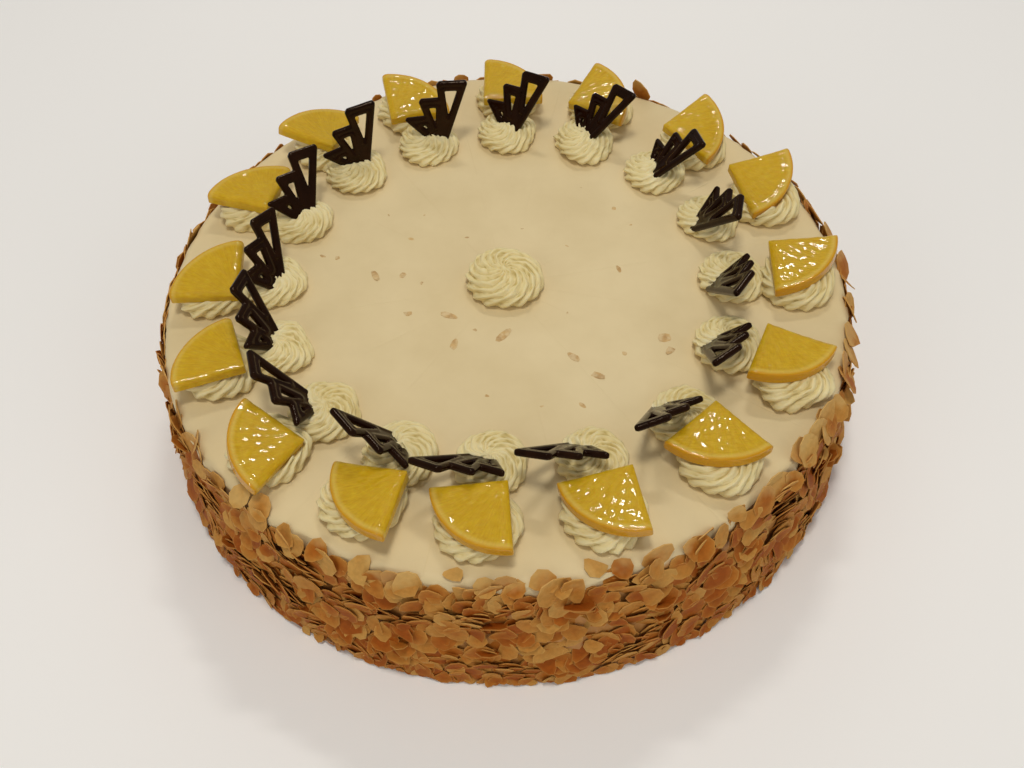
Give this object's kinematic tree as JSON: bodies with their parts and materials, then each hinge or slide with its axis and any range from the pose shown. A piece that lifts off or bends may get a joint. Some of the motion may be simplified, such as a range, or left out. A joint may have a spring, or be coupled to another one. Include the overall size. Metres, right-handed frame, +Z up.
{
  "type": "lemon cream cake",
  "caption": "Round lemon cream cake topped with piped cream rosettes, lemon quarters and chocolate fans, its side coated in toasted almond flakes; it rests flat on its underside.",
  "frame": {"origin": "middle of the cake's underside, on the surface it stands on", "axes": "+Z up, out of the cream top; +Y towards the back of the cake as pictured, and +X to its right"},
  "size_m": [0.2899, 0.2881, 0.0954],
  "materials": {
    "cream": "matte lemon cream, slightly satin",
    "almond": "toasted almond flakes on cream, matte",
    "lemon": "lemon flesh under a clear jelly glaze",
    "chocolate": "glossy dark chocolate"
  },
  "bodies": {
    "root": {"cake": "almond", "centre_rosette": "cream", "cream_rosettes_01": "cream", "cream_rosettes_02": "cream", "cream_rosettes_03": "cream", "cream_rosettes_04": "cream", "cream_rosettes_05": "cream", "cream_rosettes_06": "cream", "cream_rosettes_07": "cream", "cream_rosettes_08": "cream", "cream_rosettes_09": "cream", "cream_rosettes_10": "cream", "cream_rosettes_11": "cream", "cream_rosettes_12": "cream", "cream_rosettes_13": "cream", "cream_rosettes_14": "cream", "cream_rosettes_15": "cream", "cream_rosettes_16": "cream", "lemon_01": "lemon", "lemon_02": "lemon", "lemon_03": "lemon", "lemon_04": "lemon", "lemon_05": "lemon", "lemon_06": "lemon", "lemon_07": "lemon", "lemon_08": "lemon", "lemon_09": "lemon", "lemon_10": "lemon", "lemon_11": "lemon", "lemon_12": "lemon", "lemon_13": "lemon", "lemon_14": "lemon", "lemon_15": "lemon", "lemon_16": "lemon", "chocolate_01": "chocolate", "chocolate_02": "chocolate", "chocolate_03": "chocolate", "chocolate_04": "chocolate", "chocolate_05": "chocolate", "chocolate_06": "chocolate", "chocolate_07": "chocolate", "chocolate_08": "chocolate", "chocolate_09": "chocolate", "chocolate_10": "chocolate", "chocolate_11": "chocolate", "chocolate_12": "chocolate", "chocolate_13": "chocolate", "chocolate_14": "chocolate", "chocolate_15": "chocolate", "chocolate_16": "chocolate"}
  },
  "joints": []
}
